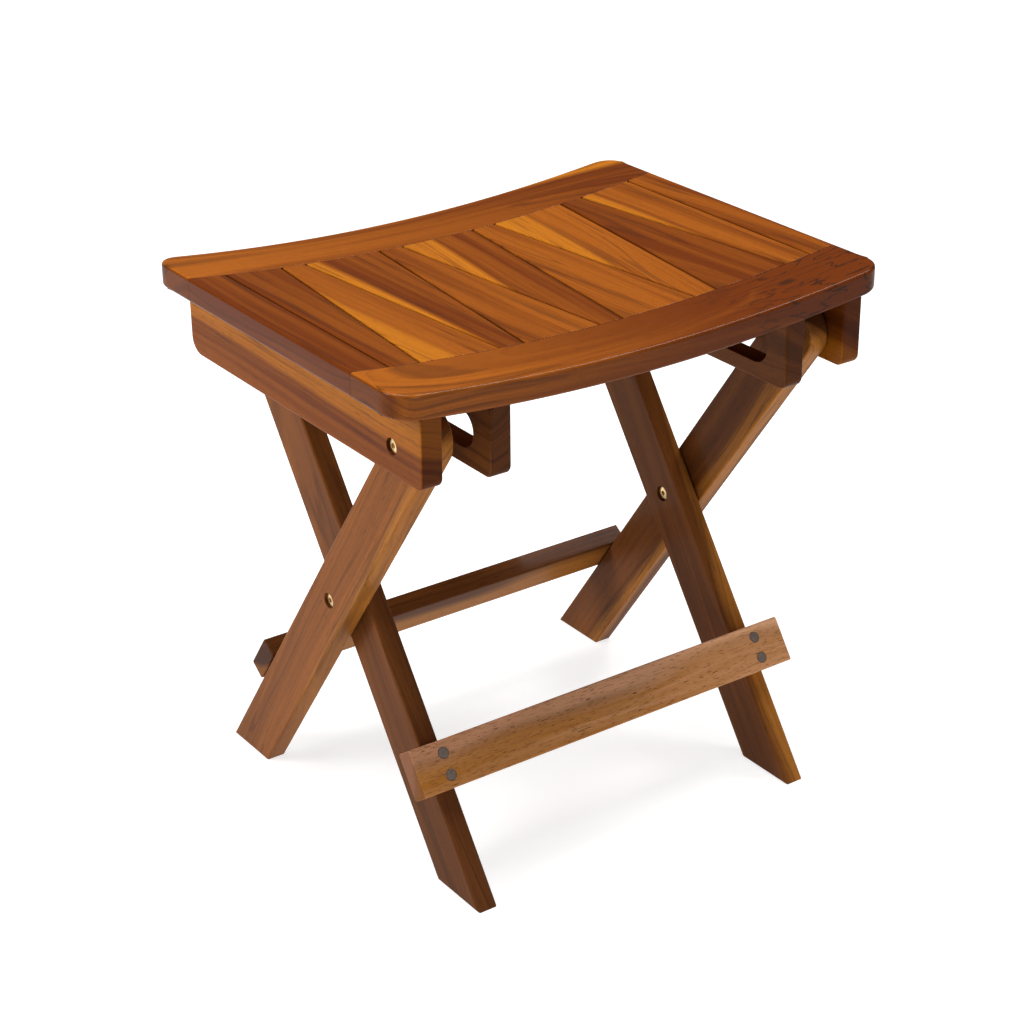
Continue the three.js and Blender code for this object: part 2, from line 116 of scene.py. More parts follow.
# Small lengths in metres, and limits that the surfaces use.
FIT = 0.0003                     # gap between a piece and the wood that it fits into
OVER = 0.002                     # how far a cutter sticks out of the piece that it cuts
CUTTER_START = 0.031             # where a cutter's first corner stands, in radians
SLIVER = 5e-6                    # edges shorter than this are merged after a cut
SHARP_ANGLE = math.radians(32)   # faces that turn by more than this meet in a sharp edge
NEARLY_STRAIGHT = 0.02           # sine of a corner so slight that the outline counts as straight


def leg_direction(up):
    """A side view direction (y, z) as a direction in space."""
    return np.array([0.0, up[0], up[1]])


def board_faces(node, side):
    """The x of a side board's outer and inner faces."""
    low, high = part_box(node)
    return (high.x, low.x) if side > 0 else (low.x, high.x)


def axis_start(points, direction):
    """Where a round piece starts on its own axis, seen along `direction`, and its length."""
    reach = points @ direction
    place = points.mean(0) + direction * (reach.min() - reach.mean())
    return place, reach.max() - reach.min()


# ---------- sizes and colours that a user would change ----------


def length(name, description, default):
    """A length in metres for the sidebar."""
    return bpy.props.FloatProperty(
        name=name, description=description, default=default, min=0, precision=4, unit="LENGTH")


def colour(name, description, default):
    """A colour for the sidebar."""
    return bpy.props.FloatVectorProperty(
        name=name, description=description, default=default, size=3, min=0, max=1, subtype="COLOR")


class StoolSizes(bpy.types.PropertyGroup):
    """Sizes of the stool's edges and joints that the frame's boxes don't give."""

    seat_thickness: length("Seat thickness", "Thickness of the seat's boards", 0.020)
    corner_radius: length("Seat corners", "Radius of the seat's corners in plan", 0.020)
    edge_round: length("Seat edge", "Rounding round the seat's outer edge", 0.0029)
    joint_round: length("Joint edge", "Softened edge where two seat boards meet", 0.0006)
    slat_round: length("Slat edge", "Rounding along the seat's open gaps", 0.0014)
    arris: length("Arris", "Rounding along the edges of legs and boards", 0.0019)
    front_corner: length("Front corner", "Lower front corner of the aprons and cleats", 0.008)
    back_corner: length("Back corner", "Lower back corner of the aprons and cleats", 0.014)
    slot_clearance: length("Slot clearance", "Room round the crossbar in the cleats' slots", 0.0015)
    slot_post: length("Slot post", "Wood between a slot and the cleat's front end", 0.0225)
    counterbore: length("Counterbore", "Radius of the recesses round the brass heads", 0.0065)
    counterbore_depth: length("Counterbore depth", "Depth of those recesses", 0.0043)
    bore: length("Bolt bore", "Radius of the bores for the barrel nuts", 0.0043)
    tenon_bore: length("Tenon bore", "Radius of the bores for the crossbar's tenons", 0.0083)
    plug_well: length("Plug well", "Radius of the wells that the wood plugs fill", 0.0048)
    plug_depth: length("Plug depth", "Depth of those wells", 0.0063)
    hole_edge: length("Hole edge", "Softened edge round bores and wells", 0.0003)


class StoolColours(bpy.types.PropertyGroup):
    """Colours of the stool's woods and metals."""

    seat_light: colour("Seat, light", "Light heartwood of the seat", (0.265, 0.074, 0.007))
    seat_dark: colour("Seat, dark", "Dark heartwood of the seat", (0.100, 0.021, 0.003))
    seat_sap: colour("Seat, sapwood", "Golden sapwood of the seat", (0.35, 0.116, 0.008))
    leg_light: colour("Legs, light", "Light heartwood of the legs", (0.275, 0.090, 0.018))
    leg_dark: colour("Legs, dark", "Dark heartwood of the legs", (0.105, 0.034, 0.009))
    leg_sap: colour("Legs, sapwood", "Pale sapwood of the legs", (0.36, 0.140, 0.024))
    stretcher_light: colour("Stretcher, light", "Light wood of the stretchers", (0.84, 0.47, 0.27))
    stretcher_dark: colour("Stretcher, dark", "Dark wood of the stretchers", (0.47, 0.225, 0.120))
    streak: colour("Streak", "Nearly black mineral streaks", (0.030, 0.011, 0.005))
    plug: colour("Plug", "Grey-brown end grain of the plugs", (0.170, 0.135, 0.112))
    brass: colour("Brass", "Brass of the bolts and nuts", (0.72, 0.53, 0.27))
    nylon: colour("Nylon", "Nylon of the washers", (0.72, 0.69, 0.62))
    steel: colour("Steel", "Steel of the screws", (0.56, 0.56, 0.57))
    floor: colour("Floor", "The plain floor", (0.42, 0.42, 0.42))


# ---------- shader maths ----------


class Link:
    """A node's output that takes part in sums: an expression on links adds Math nodes."""

    def __init__(self, graph, socket):
        self.graph = graph
        self.socket = socket

    def _math(self, operation, first, second=0.0):
        return self.graph.node("ShaderNodeMath", {"operation": operation}, {0: first, 1: second})

    def __add__(self, other):
        return self._math("ADD", self, other)

    def __radd__(self, other):
        return self._math("ADD", other, self)

    def __sub__(self, other):
        return self._math("SUBTRACT", self, other)

    def __rsub__(self, other):
        return self._math("SUBTRACT", other, self)

    def __mul__(self, other):
        return self._math("MULTIPLY", self, other)

    def __rmul__(self, other):
        return self._math("MULTIPLY", other, self)

    def __pow__(self, other):
        return self._math("POWER", self, other)

    def __abs__(self):
        return self._math("ABSOLUTE", self)

    def part(self):
        """The part after the decimal point."""
        return self._math("FRACT", self)


class Graph:
    """The node tree of a material or of the world."""

    def __init__(self, owner):
        owner.use_nodes = True
        self.tree = owner.node_tree
        self.tree.nodes.clear()

    def node(self, kind, settings, sockets, output=0):
        """A node with its settings, then its sockets' values or links. Gives one of its outputs."""
        node = self.tree.nodes.new(kind)
        for name, value in settings.items():
            setattr(node, name, value)
        for name, value in sockets.items():
            if isinstance(value, Link):
                self.tree.links.new(value.socket, node.inputs[name])
            else:
                node.inputs[name].default_value = value
        return Link(self, node.outputs[output]) if node.outputs else None

    def place(self):
        """Where a point lies in the stool's own space."""
        return self.node("ShaderNodeTexCoord", {}, {}, "Object")

    def attribute(self, name, output):
        """A value that a piece's mesh carries."""
        return self.node("ShaderNodeAttribute", {"attribute_name": name}, {}, output)

    def noise(self, vector, scale=1.0, detail=2.0, roughness=0.5, output=0):
        """Fractal noise in three dimensions."""
        sockets = {"Vector": vector, "Scale": scale, "Detail": detail, "Roughness": roughness}
        return self.node("ShaderNodeTexNoise", {}, sockets, output)

    def vector(self, operation, first, second):
        """A sum on vectors."""
        return self.node("ShaderNodeVectorMath", {"operation": operation}, {0: first, 1: second})

    def length(self, vector):
        """A vector's length."""
        return self.node("ShaderNodeVectorMath", {"operation": "LENGTH"}, {0: vector}, "Value")

    def combine(self, x, y, z):
        """A vector from its three parts."""
        return self.node("ShaderNodeCombineXYZ", {}, {0: x, 1: y, 2: z})

    def step(self, value, low, high):
        """0 below `low`, 1 above `high`, and smooth between them."""
        settings = {"interpolation_type": "SMOOTHSTEP"}
        return self.node("ShaderNodeMapRange", settings, {"Value": value, 1: low, 2: high})

    def mix(self, first, second, share, blend="MIX"):
        """Two colours mixed."""
        settings = {"data_type": "RGBA", "blend_type": blend, "clamp_factor": True}
        return self.node("ShaderNodeMix", settings, {0: share, 6: first, 7: second}, 2)

    def bump(self, height, distance, strength):
        """A normal from a height, which counts in units of `distance` metres."""
        sockets = {"Strength": strength, "Distance": distance, "Height": height}
        return self.node("ShaderNodeBump", {}, sockets)

    def surface(self, sockets):
        """The shader and the output of a material."""
        shader = self.node("ShaderNodeBsdfPrincipled", {}, sockets)
        self.node("ShaderNodeOutputMaterial", {}, {"Surface": shader})


def opaque(rgb):
    """A colour with full alpha."""
    return (*rgb, 1.0)


# The imagined tree that the boards were cut from. Lengths are in metres. Waves are counted to the metre,
# along the pith and two ways across it, or outwards from the pith.
SAP_RADIUS = 0.100               # from the pith to the pale sapwood
SAP_EDGE = 0.006                 # width of the change to sapwood
SWAY = (0.0, 0.022, 0.022)       # how far slow noise bends the rings
SWAY_WAVES = (3.0, 14.0, 14.0)
BAND_WAVES = 110.0               # soft dark bands
STREAK_WAVES = 42.0              # black mineral streaks
RING_WAVES = 330.0               # thin growth rings
FIBRE_WAVES = (22.0, 950.0, 950.0)
PORE_WAVES = (90.0, 1500.0, 1500.0)
WILD_WAVES = (17.0, 75.0, 75.0)  # wavy figure near a knot
KNOT_STRETCH = (0.45, 1.0, 1.0)  # a knot's cut is longer along the board
ACROSS = (0.0, 1.0, 1.0)         # leaves out the way along the pith
NOISE_MEAN = (0.5, 0.5, 0.5)
FIBRE_SHADE = (0.55, 0.48, 0.42, 1.0)
END_SHADE = (0.48, 0.42, 0.38, 1.0)


def bow_round_knots(g, radius, knots):
    """The distance from the pith, raised round each knot, and the mask of the knots' dark cores."""
    core = 0.0
    for centre, size in knots:
        offset = g.vector("SUBTRACT", g.place(), centre)
        reach = g.length(g.vector("MULTIPLY", offset, KNOT_STRETCH))
        near = 1.0 - g.step(reach, 0.0, 6 * size)
        radius = radius + near * near * (1.4 * size)
        core = 1.0 - g.step(reach, 0.35 * size, size) + core
    return radius, core


def add_wild_figure(g, wood, dark, streak, bent, centre, reach):
    """The wood darkened within `reach` of a place, with wavy dark contours of slow noise."""
    near = 1.0 - g.step(g.length(g.vector("SUBTRACT", g.place(), centre)), 0.3 * reach, reach)
    contour = abs(g.noise(g.vector("MULTIPLY", bent, WILD_WAVES), detail=3.0) - 0.5)
    wood = g.mix(wood, dark, near ** 3.0)
    return g.mix(wood, streak, (1.0 - g.step(contour, 0.003, 0.030)) * near * 0.85)


def teak(name, light, dark, sap, streak, gloss, pores, contrast, knots=(), figure=None):
    """Oiled teak that reads the tree's own coordinates: along the pith, and two ways across it.

    The distance from the pith, bent by slow noise, gives growth rings, broad dark bands, black streaks
    and sapwood. Fine noise stretched along the grain gives fibres and open pores, as (strength,
    fineness). Faces across the grain are darker. Each knot is a place (x, y, z) and a size: the rings
    bow round it, and its core is dark. A figure is a place and a reach.
    """
    g = Graph(bpy.data.materials.new(name))
    tree = g.attribute("grain", "Vector")
    tone = g.attribute("tone", "Fac")
    end = g.attribute("end", "Fac")
    along = g.node("ShaderNodeSeparateXYZ", {}, {0: tree})
    sway = g.noise(g.vector("MULTIPLY", tree, SWAY_WAVES), output="Color")
    sway = g.vector("MULTIPLY", g.vector("SUBTRACT", sway, NOISE_MEAN), SWAY)
    bent = g.vector("ADD", tree, sway)
    radius = g.length(g.vector("MULTIPLY", bent, ACROSS))
    radius, core = bow_round_knots(g, radius, knots)

    ringed = g.combine(radius * BAND_WAVES, along * 1.6, along * 0.3)
    bands = g.step(g.noise(ringed, detail=4.0, roughness=0.55), 0.36, 0.66)
    wide = g.combine(radius * STREAK_WAVES, along * 1.1, along * 0.2 + 4.0)
    streaks = g.noise(wide, detail=3.0, roughness=0.55)
    vein = 1.0 - g.step(abs(streaks - 0.47), 0.002, 0.016)
    rings = (radius * RING_WAVES + streaks * 3.0).part() ** 5.0
    fibre = g.noise(g.vector("MULTIPLY", tree, FIBRE_WAVES), roughness=0.6)
    strength, fineness = pores
    dashes = g.noise(g.vector("MULTIPLY", tree, PORE_WAVES), fineness, detail=1.0)
    pore = g.step(dashes, 0.61, 0.70) * strength

    heartwood = g.mix(light, dark, bands * contrast + tone * 0.85)
    heartwood = g.mix(heartwood, streak, g.step(streaks, 0.60, 0.70) * 0.62)
    outer = g.step(radius + streaks * SAP_EDGE, SAP_RADIUS, SAP_RADIUS + SAP_EDGE)
    wood = g.mix(heartwood, g.mix(sap, light, bands * 0.5), outer)
    wood = g.mix(wood, dark, rings * 0.30)
    wood = g.mix(wood, streak, vein * 0.34)
    if figure:
        wood = add_wild_figure(g, wood, dark, streak, bent, *figure)
    if knots:
        wood = g.mix(wood, streak, core * 0.8)
    wood = g.mix(wood, streak, pore)
    wood = g.mix(wood, FIBRE_SHADE, (1.0 - fibre) * 0.55, "MULTIPLY")
    wood = g.mix(wood, END_SHADE, g.step(end, 0.5, 0.9), "MULTIPLY")
    g.surface({
        "Base Color": wood,
        "Roughness": fibre * 0.14 + (0.26 + 0.12 * (1 - gloss)),
        "Specular IOR Level": 0.03,
        "Coat Weight": gloss * 0.12,
        "Coat Roughness": 0.08,
        "Normal": g.bump(fibre * 0.35 - pore - rings * 0.25, distance=0.00022, strength=0.55),
    })


def end_grain(name, base, dark):
    """Wood seen end-on, for the plugs: fine dark pores under a soft cloud."""
    g = Graph(bpy.data.materials.new(name))
    place = g.place()
    speckle = g.noise(place, 2600.0, roughness=0.6)
    cloud = g.noise(place, 420.0)
    wood = g.mix(base, dark, g.step(speckle, 0.42, 0.68) * 0.8 + cloud * 0.2)
    g.surface({
        "Base Color": wood,
        "Roughness": cloud * 0.15 + 0.42,
        "Specular IOR Level": 0.2,
        "Normal": g.bump(speckle, distance=0.00012, strength=0.6),
    })


TARNISH_SHADE = (0.62, 0.55, 0.46, 1.0)


def brushed_metal(name, base, roughness, stretch):
    """Metal with fine turning marks and a little tarnish."""
    g = Graph(bpy.data.materials.new(name))
    place = g.place()
    marks = g.noise(g.vector("MULTIPLY", place, stretch), detail=3.0, roughness=0.6)
    tarnish = g.step(g.noise(place, 330.0, detail=3.0, roughness=0.6), 0.45, 0.72)
    shade = g.mix(base, TARNISH_SHADE, tarnish * 0.5, "MULTIPLY")
    g.surface({
        "Base Color": shade,
        "Metallic": 1.0,
        "Roughness": marks * 0.14 + tarnish * 0.12 + roughness,
        "Normal": g.bump(marks, distance=0.00004, strength=0.5),
    })


GRIME_SHADE = (0.86, 0.84, 0.80, 1.0)


def moulded_nylon(name, base):
    """Matt moulded nylon with a fine grain."""
    g = Graph(bpy.data.materials.new(name))
    place = g.place()
    grain = g.noise(place, 1800.0)
    shade = g.mix(base, GRIME_SHADE, g.noise(place, 160.0) * 0.5, "MULTIPLY")
    g.surface({
        "Base Color": shade,
        "Roughness": grain * 0.2 + 0.42,
        "Subsurface Weight": 0.08,
        "Normal": g.bump(grain, distance=0.00005, strength=0.4),
    })


class STOOL_OT_finishes(bpy.types.Operator):
    """Makes the stool's woods, brass, nylon and steel"""

    bl_idname = "stool.finishes"
    bl_label = "Finishes"

    def execute(self, context):
        colours = context.scene.stool_colours
        seat = [opaque(c) for c in (colours.seat_light, colours.seat_dark, colours.seat_sap)]
        leg = [opaque(c) for c in (colours.leg_light, colours.leg_dark, colours.leg_sap)]
        pale = [opaque(c) for c in (colours.stretcher_light, colours.stretcher_dark, colours.leg_sap)]
        streak = opaque(colours.streak)
        front = middle("seat_front_rail")[1]
        knot = ((HALF_LENGTH - 0.075, front + 0.002, SEAT_TOP - 0.0085), 0.0055)
        corner = ((HALF_LENGTH - 0.03, front + 0.012, SEAT_TOP), 0.16)
        teak("seat teak", *seat, streak, gloss=1.0, pores=(0.25, 1.0), contrast=0.50)
        teak("front rail teak", *seat, streak, gloss=1.0, pores=(0.25, 1.0), contrast=0.60, knots=[knot],
             figure=corner)
        teak("apron teak", *seat, streak, gloss=0.35, pores=(0.35, 1.0), contrast=0.45)
        teak("leg teak", *leg, streak, gloss=0.30, pores=(0.40, 1.1), contrast=0.44)
        teak("stretcher teak", *pale, streak, gloss=0.20, pores=(0.85, 1.5), contrast=0.45)
        end_grain("plug end grain", opaque(colours.plug), streak)
        brushed_metal("turned brass", opaque(colours.brass), roughness=0.24, stretch=(300, 900, 900))
        brushed_metal("zinc-plated steel", opaque(colours.steel), roughness=0.3, stretch=(900, 900, 900))
        moulded_nylon("moulded nylon", opaque(colours.nylon))
        return {"FINISHED"}


# ---------- surfaces ----------


def make_object(name, points, faces):
    """A mesh object whose doubled points are merged and whose faces point outwards."""
    mesh = bpy.data.meshes.new(name)
    mesh.from_pydata(np.asarray(points, float), [], faces)
    shell = bmesh.new()
    shell.from_mesh(mesh)
    bmesh.ops.remove_doubles(shell, verts=shell.verts, dist=1e-6)
    bmesh.ops.recalc_face_normals(shell, faces=shell.faces)
    shell.to_mesh(mesh)
    shell.free()
    piece = bpy.data.objects.new(name, mesh)
    bpy.context.scene.collection.objects.link(piece)
    return piece


def ring_faces(rings, around):
    """Quads between neighbouring rings of `around` points each, numbered ring by ring."""
    ring, step = np.meshgrid(np.arange(rings - 1), np.arange(around), indexing="ij")
    here = ring * around + step
    beside = ring * around + (step + 1) % around
    return np.stack([here, beside, beside + around, here + around], -1).reshape(-1, 4)


def turned(name, profile, centre, axis, sides, start=0.0):
    """A turned piece: the profile [along, radius] spins about the axis through `centre`.

    A point is centre + along * axis + radius * (cos t * u + sin t * v), with u and v square to the axis.
    The first corner stands at t = start. A cutter starts elsewhere than its piece, so that no edge of
    the one lies along an edge of the other.
    """
    profile = np.asarray(profile, float)
    axis = np.asarray(axis, float)
    u = np.cross(axis, X_AXIS if abs(axis[0]) < 0.9 else Z_AXIS)
    u /= np.linalg.norm(u)
    v = np.cross(axis, u)
    turn = start + np.arange(sides) * 2 * np.pi / sides
    circle = np.outer(np.cos(turn), u) + np.outer(np.sin(turn), v)
    points = np.asarray(centre) + profile[:, :1, None] * axis + profile[:, 1:, None] * circle
    return make_object(name, points.reshape(-1, 3), ring_faces(len(profile), sides).tolist())


def softened(profile, radius, steps=4):
    """A turned profile whose middle corners are rounded: each becomes a quarter curve, a quadratic
    Bezier from `radius` before the corner to `radius` after it."""
    profile = np.asarray(profile, float)
    before, corner, after = profile[:-2], profile[1:-1], profile[2:]
    towards = before - corner
    away = after - corner
    reach_in = np.minimum(radius, 0.45 * np.linalg.norm(towards, axis=1))[:, None]
    reach_out = np.minimum(radius, 0.45 * np.linalg.norm(away, axis=1))[:, None]
    start = corner + towards / np.linalg.norm(towards, axis=1)[:, None] * reach_in
    end = corner + away / np.linalg.norm(away, axis=1)[:, None] * reach_out
    t = np.linspace(0, 1, steps + 1)[None, :, None]
    curve = start[:, None] * (1 - t) ** 2 + corner[:, None] * 2 * t * (1 - t) + end[:, None] * t**2
    return np.vstack([profile[:1], curve.reshape(-1, 2), profile[-1:]])


def softened_outline(outline, radius, steps=5):
    """A closed outline whose corners become quarter curves, as in `softened`."""
    closed = np.vstack([outline[-1:], outline, outline[:1]])
    return softened(closed, radius, steps)[1:-1]


def inset_by(outline, distances):
    """A closed outline moved inwards, each edge by its own distance: where two neighbouring edges'
    moved lines cross. `distances` holds one row for each ring and one column for each edge."""
    ahead = np.roll(outline, -1, 0) - outline
    normal = np.stack([-ahead[:, 1], ahead[:, 0]], 1) / np.linalg.norm(ahead, axis=1)[:, None]
    last = np.roll(normal, 1, 0)
    last_distance = np.roll(distances, 1, 1)
    crossed = last[:, 0] * normal[:, 1] - last[:, 1] * normal[:, 0]
    straight = np.abs(crossed) < NEARLY_STRAIGHT
    safe = np.where(straight, 1.0, crossed)
    sharp_x = (last_distance * normal[:, 1] - distances * last[:, 1]) / safe
    sharp_y = (distances * last[:, 0] - last_distance * normal[:, 0]) / safe
    mean = (last + normal) / 2
    mean /= np.sum(mean**2, 1)[:, None]
    soft = (last_distance + distances)[..., None] / 2 * mean
    moved = np.where(straight[:, None], soft, np.stack([sharp_x, sharp_y], -1))
    return outline + moved


def quarter(steps):
    """Inset and drop of a quarter round of radius 1, from the side face up to the top face."""
    angle = np.linspace(0, np.pi / 2, steps + 1)
    return 1 - np.cos(angle), 1 - np.sin(angle)


def side_board(name, outline, low_x, high_x, arris, steps=4):
    """A board in side view: a quarter-round arris carried round the outline (y, z) at both faces.

    The outline runs anticlockwise seen from +X. At angle t of the quarter round, a ring is inset by
    arris * (1 - cos t) and lies arris * (1 - sin t) below the face.
    """
    inset, drop = quarter(steps)
    around = len(outline)
    rings = inset_by(outline, np.outer(inset * arris, np.ones(around)))
    lower = np.dstack([np.full((steps + 1, around), low_x) + arris * drop[:, None], rings])[::-1]
    upper = np.dstack([np.full((steps + 1, around), high_x) - arris * drop[:, None], rings])
    points = np.vstack([lower, upper]).reshape(-1, 3)
    count = 2 * (steps + 1)
    faces = ring_faces(count, around).tolist()
    faces.append(np.arange(around)[::-1].tolist())
    faces.append((np.arange(around) + (count - 1) * around).tolist())
    return make_object(name, points, faces)


def arc(centre, radius, start, end, steps):
    """Points of an arc, angles in degrees."""
    angle = np.radians(np.linspace(start, end, steps + 1))
    return np.asarray(centre) + radius * np.stack([np.cos(angle), np.sin(angle)], 1)


def seat_height(x, dip):
    """The seat's top: it rises from the middle to the ends with the square of the distance."""
    return SEAT_TOP - dip * (1 - (x / HALF_LENGTH) ** 2)


def dished_board(name, left, right, rounding, thickness, columns, steps):
    """A seat board: a grid in plan between its left and right edges, laid on the seat's curve.

    Row i of the grid runs from left[i] to right[i]. The grid's rim is carried down to the underside
    through two quarter rounds, with a rounding of its own on each of the four sides (first row, right
    edge, last row, left edge). Every height is the seat's top at that x, less the depth of the layer.
    """
    rows = len(left)
    share = np.linspace(0, 1, columns + 1)[None, :, None]
    grid = left[:, None] * (1 - share) + right[:, None] * share
    number = np.arange(rows * (columns + 1)).reshape(rows, columns + 1)
    rim = np.concatenate([number[0, :-1], number[:-1, -1], number[-1, :0:-1], number[:0:-1, 0]])
    first, right_side, last, left_side = rounding
    edge = np.concatenate([
        np.full(columns, first), np.full(rows - 1, right_side),
        np.full(columns, last), np.full(rows - 1, left_side)])
    outline = grid.reshape(-1, 2)[rim]
    corner = np.maximum(edge, np.roll(edge, 1))
    inset, drop = quarter(steps)
    rings = inset_by(outline, np.outer(inset, edge))
    depth = np.outer(drop, corner)
    dip = SEAT_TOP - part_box("seat_front_rail")[0].z - thickness

    def laid(plan, below):
        return np.dstack([plan, seat_height(plan[..., 0], dip) - below])

    cap = grid.reshape(-1, 2).copy()
    cap[rim] = rings[-1]
    top = laid(cap[None], np.zeros((1, len(cap))))[0]
    bottom = laid(cap[None], np.full((1, len(cap)), thickness))[0]
    upper = laid(rings, depth)[::-1].reshape(-1, 3)
    lower = laid(rings, thickness - depth).reshape(-1, 3)
    cells = np.stack([number[:-1, :-1], number[:-1, 1:], number[1:, 1:], number[1:, :-1]], -1)
    cells = cells.reshape(-1, 4)
    walls = ring_faces(2 * (steps + 1), len(rim)) + 2 * len(cap)
    faces = np.vstack([cells, cells[:, ::-1] + len(cap), walls]).tolist()
    return make_object(name, np.vstack([top, bottom, upper, lower]), faces)


def cut(piece, cutters):
    """Takes the cutters' shapes out of a piece, removes them, and merges the slivers that a cut leaves."""
    for cutter in cutters:
        difference = piece.modifiers.new("cut", "BOOLEAN")
        difference.operation = "DIFFERENCE"
        difference.solver = "EXACT"
        difference.object = cutter
    graph = bpy.context.evaluated_depsgraph_get()
    pierced = bpy.data.meshes.new_from_object(piece.evaluated_get(graph))
    shell = bmesh.new()
    shell.from_mesh(pierced)
    bmesh.ops.remove_doubles(shell, verts=shell.verts, dist=SLIVER)
    bmesh.ops.dissolve_degenerate(shell, edges=shell.edges, dist=SLIVER)
    shell.to_mesh(pierced)
    shell.free()
    piece.modifiers.clear()
    piece.data = pierced
    for cutter in cutters:
        bpy.data.objects.remove(cutter)


def hole(place, direction, radius, depth, edge):
    """A blind or through hole with a softened mouth, as a turned cutter that starts at `place`."""
    profile = [[-OVER, 0], [-OVER, radius + edge + OVER], [edge, radius], [depth, radius], [depth, 0]]
    return turned("cutter", profile, place, direction, sides=40, start=CUTTER_START)


BORE_END = 0.019                 # past the far face of an apron or a leg


def bolt_hole(place, direction, sizes):
    """A bolt's bore through a board, with the counterbore for its head at `place`."""
    wide, narrow, deep, edge = sizes.counterbore, sizes.bore, sizes.counterbore_depth, sizes.hole_edge
    profile = [[-OVER, 0], [-OVER, wide + edge + OVER], [edge, wide], [deep, wide], [deep, narrow],
               [BORE_END, narrow], [BORE_END, 0]]
    return turned("cutter", profile, place, direction, sides=40, start=CUTTER_START)


# ---------- finishing a piece ----------


def grow(piece, along, across, pith, tilt, shift, tone):
    """Says where in the tree a board was cut, as three attributes that the teak reads.

    `grain` holds each point's place along the pith and in two directions across it. The pith passes
    `pith` metres from the board's middle, and `tilt` says how fast it slopes away from the board.
    `tone` is how dark the board is at each end of its grain, from 0 to 1. `end` is 1 where a face lies
    across the grain.
    """
    mesh = piece.data
    points = mesh_points(mesh)
    local = points - (points.min(0) + points.max(0)) / 2
    third = np.cross(along, across)
    a = local @ along
    b = local @ across - pith[0] + tilt[0] * a
    c = local @ third - pith[1] + tilt[1] * a
    grain = np.stack([a + shift, b, c], 1).astype(np.float32)
    mesh.attributes.new("grain", "FLOAT_VECTOR", "POINT").data.foreach_set("vector", grain.ravel())
    share = (a - a.min()) / (a.max() - a.min())
    tones = (tone[0] + (tone[1] - tone[0]) * share).astype(np.float32)
    mesh.attributes.new("tone", "FLOAT", "POINT").data.foreach_set("value", tones)
    normals = np.zeros(len(mesh.loops) * 3, np.float32)
    mesh.corner_normals.foreach_get("vector", normals)
    ends = np.abs(normals.reshape(-1, 3) @ along).astype(np.float32)
    mesh.attributes.new("end", "FLOAT", "CORNER").data.foreach_set("value", ends)


def place_piece(piece, node, body, material):
    """Gives a piece its finish and its shading, and puts it in the place of a frame node."""
    mesh = piece.data
    mesh.materials.clear()
    mesh.materials.append(bpy.data.materials[material])
    mesh.polygons.foreach_set("material_index", np.zeros(len(mesh.polygons), np.int32))
    mesh.polygons.foreach_set("use_smooth", np.ones(len(mesh.polygons), bool))
    mesh.set_sharp_from_angle(angle=SHARP_ANGLE)
    weighted = piece.modifiers.new("even shading", "WEIGHTED_NORMAL")
    weighted.keep_sharp = True
    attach(piece, body)
    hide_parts(node)


class StoolPiece:
    """What the operators that build pieces share."""

    bl_options = {"REGISTER", "UNDO"}

    def execute(self, context):
        self.build(context.scene.stool_sizes)
        return {"FINISHED"}


# ---------- seat ----------


class STOOL_OT_rails(StoolPiece, bpy.types.Operator):
    """Builds the front and back rails of the seat"""

    bl_idname = "stool.rails"
    bl_label = "Seat rails"

    def build(self, sizes):
        big, small = sizes.edge_round, sizes.joint_round
        for word, side, pith, tone, material in (
                ("front", -1, (0.020, -0.070), (-0.35, 0.90), "front rail teak"),
                ("back", 1, (-0.052, -0.052), (-0.05, 0.95), "seat teak")):
            node = f"seat_{word}_rail"
            inside, outside = self.long_edges(node, sizes.corner_radius)
            if side > 0:
                left, right = outside[::-1], inside[::-1]
            else:
                left, right = inside[::-1] * [1, -1], outside[::-1] * [1, -1]
            rounding = (big, small, big, big) if side > 0 else (big, big, big, small)
            piece = dished_board(
                f"{word}_rail", left, right, rounding, sizes.seat_thickness, columns=10, steps=6)
            place_piece(piece, node, "seat", material)
            grow(piece, X_AXIS, Y_AXIS, pith, tilt=(0.035 * side, 0.03), shift=11.3 + side, tone=tone)

    def long_edges(self, node, radius):
        """Matching points of a rail's inner and outer edges from the right end to the left, as if it
        were the back rail. The inner ones stand closer where the outer ones turn the corner."""
        end_rows, end_pitch, middle_rows, middle_start = 8, 0.0065, 30, 0.03
        low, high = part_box(node)
        inner, outer = sorted((abs(low.y), abs(high.y)))
        straight = HALF_LENGTH - radius
        inside_x = np.concatenate([
            HALF_LENGTH - np.arange(end_rows) * end_pitch,
            np.linspace(straight - middle_start, 0, middle_rows)])
        inside = np.stack([inside_x, np.full(len(inside_x), inner)], 1)
        bend = arc((straight, outer - radius), radius, 0, 90, 8)
        along_x = np.linspace(straight, 0, len(inside) - len(bend) + 1)[1:]
        outside = np.vstack([bend, np.stack([along_x, np.full(len(along_x), outer)], 1)])
        return [np.vstack([half, half[-2::-1] * [-1, 1]]) for half in (inside, outside)]


